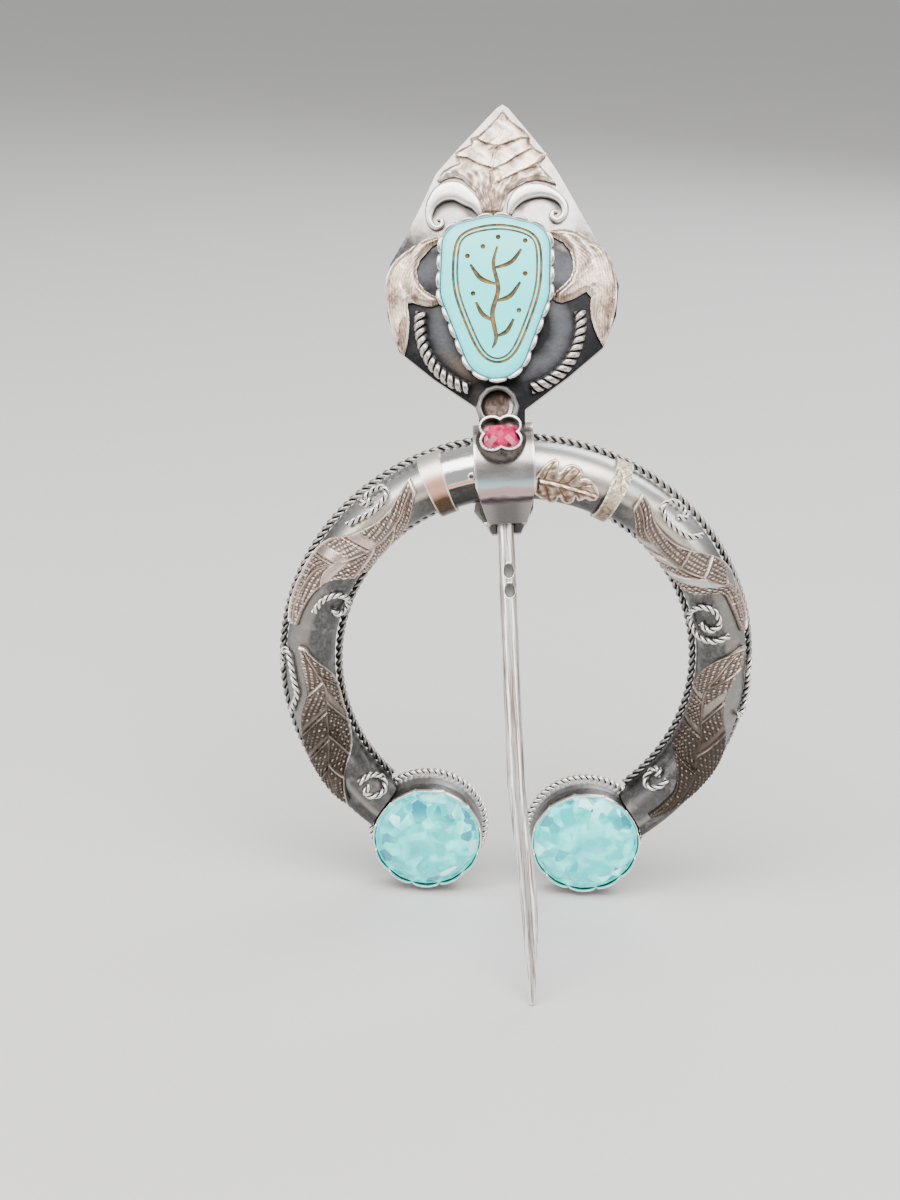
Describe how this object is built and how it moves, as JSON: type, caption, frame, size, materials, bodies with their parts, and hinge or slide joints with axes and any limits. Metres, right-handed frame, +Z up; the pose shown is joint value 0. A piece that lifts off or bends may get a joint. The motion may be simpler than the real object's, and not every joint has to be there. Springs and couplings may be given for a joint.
{
  "type": "ring brooch",
  "caption": "Open silver ring brooch with stone-set ends, cast leaves and twisted wire, whose pin swings on the ring and carries a leaf-shaped head with an engraved turquoise plaque.",
  "frame": {"origin": "centre of the underside of the box round the standing brooch", "axes": "+X to the right as the front is seen, +Y away from the front, +Z up to the head's point"},
  "size_m": [0.052, 0.0395, 0.0858],
  "materials": {
    "tube": "satin silver, bright by the clasp and darkened down the arms",
    "twisted_wire": "twisted silver wire with dark grooves",
    "scroll_wire": "twisted silver wire with dark grooves",
    "smooth_band": "smooth pale gilt",
    "textured_band": "crinkled pale gilt",
    "oak_leaf": "cast pale gilt with dark veins",
    "leaf": "cast silver with rows of beads and dark grooves",
    "terminal": "darkened silver with a bright rim",
    "blue_stone": "light blue cut stone",
    "strap": "polished silver, worn",
    "pin": "polished silver",
    "head_plate": "cast silver, darkened low down",
    "plaque": "polished turquoise with an engraved border",
    "setting": "worn silver",
    "stone_cup": "dark polished silver with a bright rim",
    "red_stone": "pink-red cut stone"
  },
  "bodies": {
    "ring": {"hoop": "tube", "outer_rim_wire": "twisted_wire", "inner_rim_wire": "twisted_wire", "left_band": "smooth_band", "right_band": "textured_band", "oak_leaf": "oak_leaf", "upper_left_leaf": "leaf", "lower_left_leaf": "leaf", "upper_right_leaf": "leaf", "lower_right_leaf": "leaf", "left_band_scroll": "scroll_wire", "left_middle_scroll": "scroll_wire", "left_edge_scroll": "scroll_wire", "left_foot_scroll": "scroll_wire", "right_band_scroll": "scroll_wire", "right_middle_scroll": "scroll_wire", "right_edge_scroll": "scroll_wire", "right_foot_scroll": "scroll_wire", "left_terminal": "terminal", "right_terminal": "terminal", "left_stone": "blue_stone", "right_stone": "blue_stone"},
    "clasp": {"strap": "strap", "pin": "pin", "head_plate": "head_plate", "plaque": "plaque", "empty_setting": "setting", "stone_cup": "stone_cup", "small_stone": "red_stone"}
  },
  "joints": [
    {"name": "pin_swing", "type": "hinge", "parent": "ring", "child": "clasp", "pos_m": [-0.0023, 0.00435, 0.04963], "axis": [0.9947, -0.0027, 0.1028], "range_deg": [0, 24]}
  ]
}
